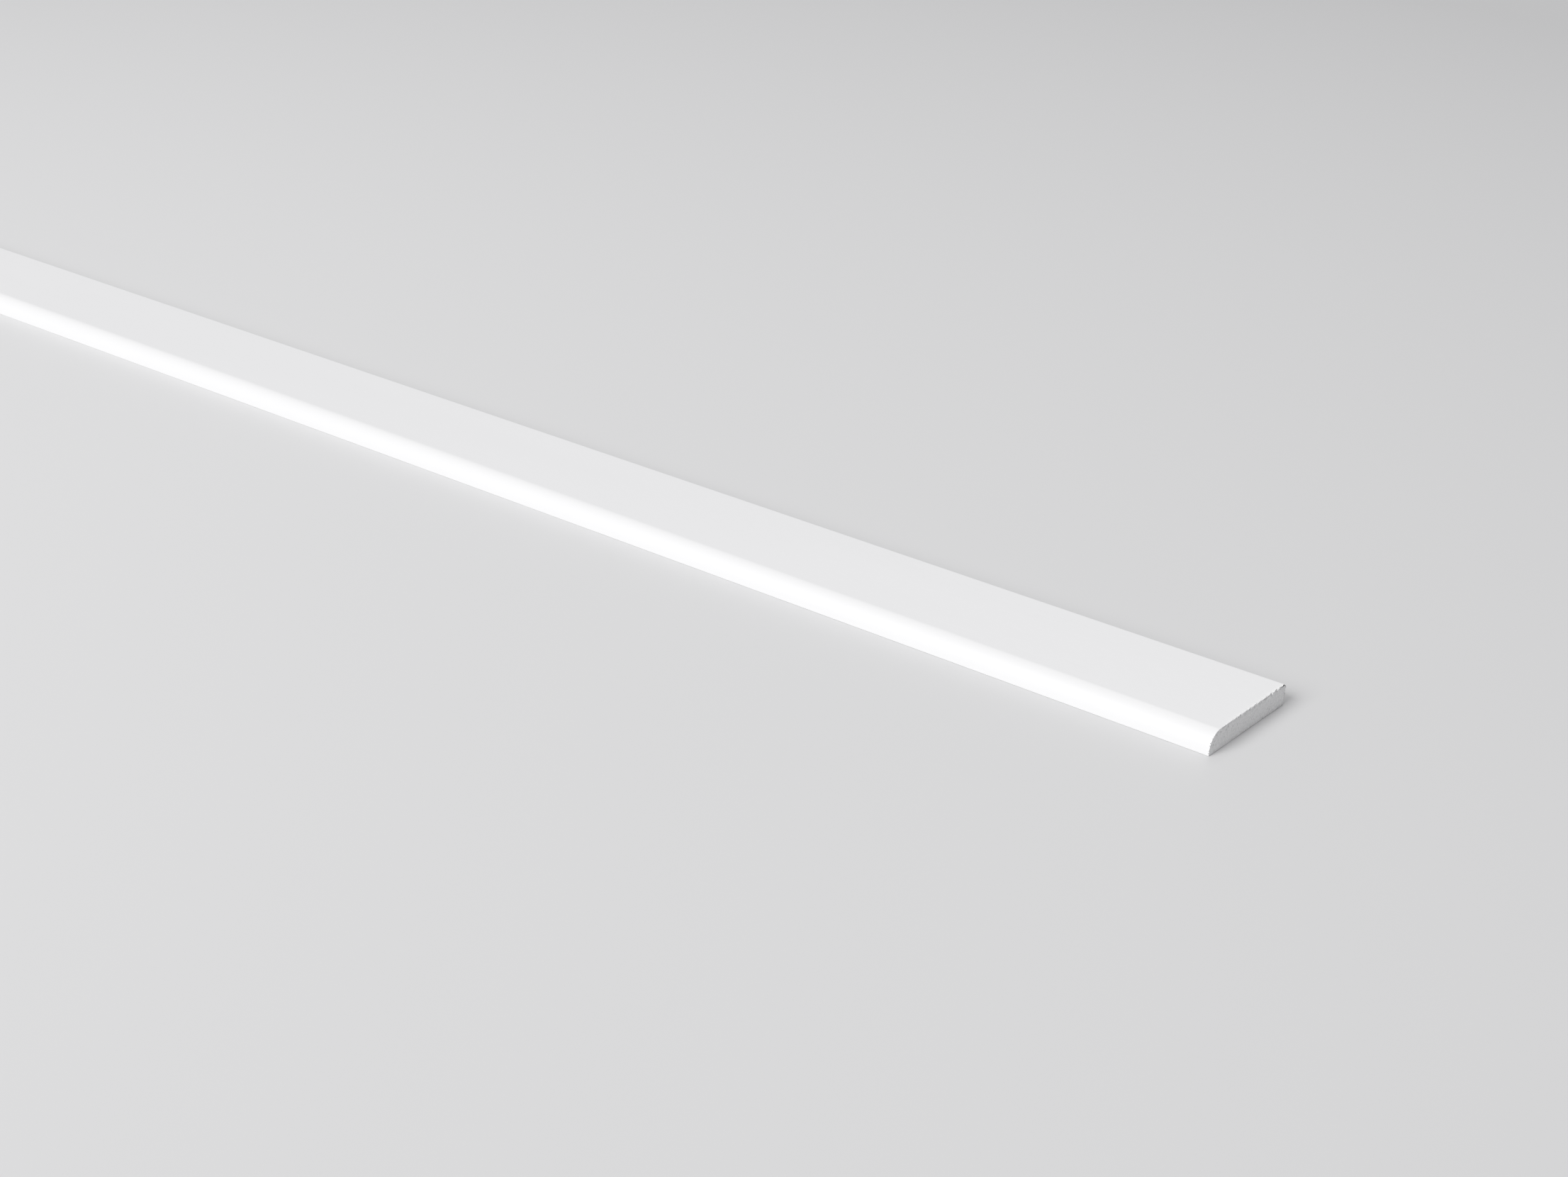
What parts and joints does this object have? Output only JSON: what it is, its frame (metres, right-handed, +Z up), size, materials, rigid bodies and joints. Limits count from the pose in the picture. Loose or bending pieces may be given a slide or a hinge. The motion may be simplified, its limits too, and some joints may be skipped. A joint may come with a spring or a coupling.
{
  "type": "edge trim strip",
  "caption": "Flat white cellular PVC trim strip with a rounded front edge and a square back edge, sawn square at both ends, for covering joints around windows, doors and ceilings.",
  "frame": {"origin": "middle of the flat underside", "axes": "+X along the strip to the sawn end that the picture shows, +Y across it from the rounded edge to the square edge, +Z up through the thickness"},
  "size_m": [0.62, 0.04, 0.006],
  "materials": {
    "white_pvc": "smooth satin-gloss white skin over a fine matte foam core, which shows only on the sawn ends"
  },
  "bodies": {
    "root": {"trim_strip": "white_pvc"}
  },
  "joints": []
}
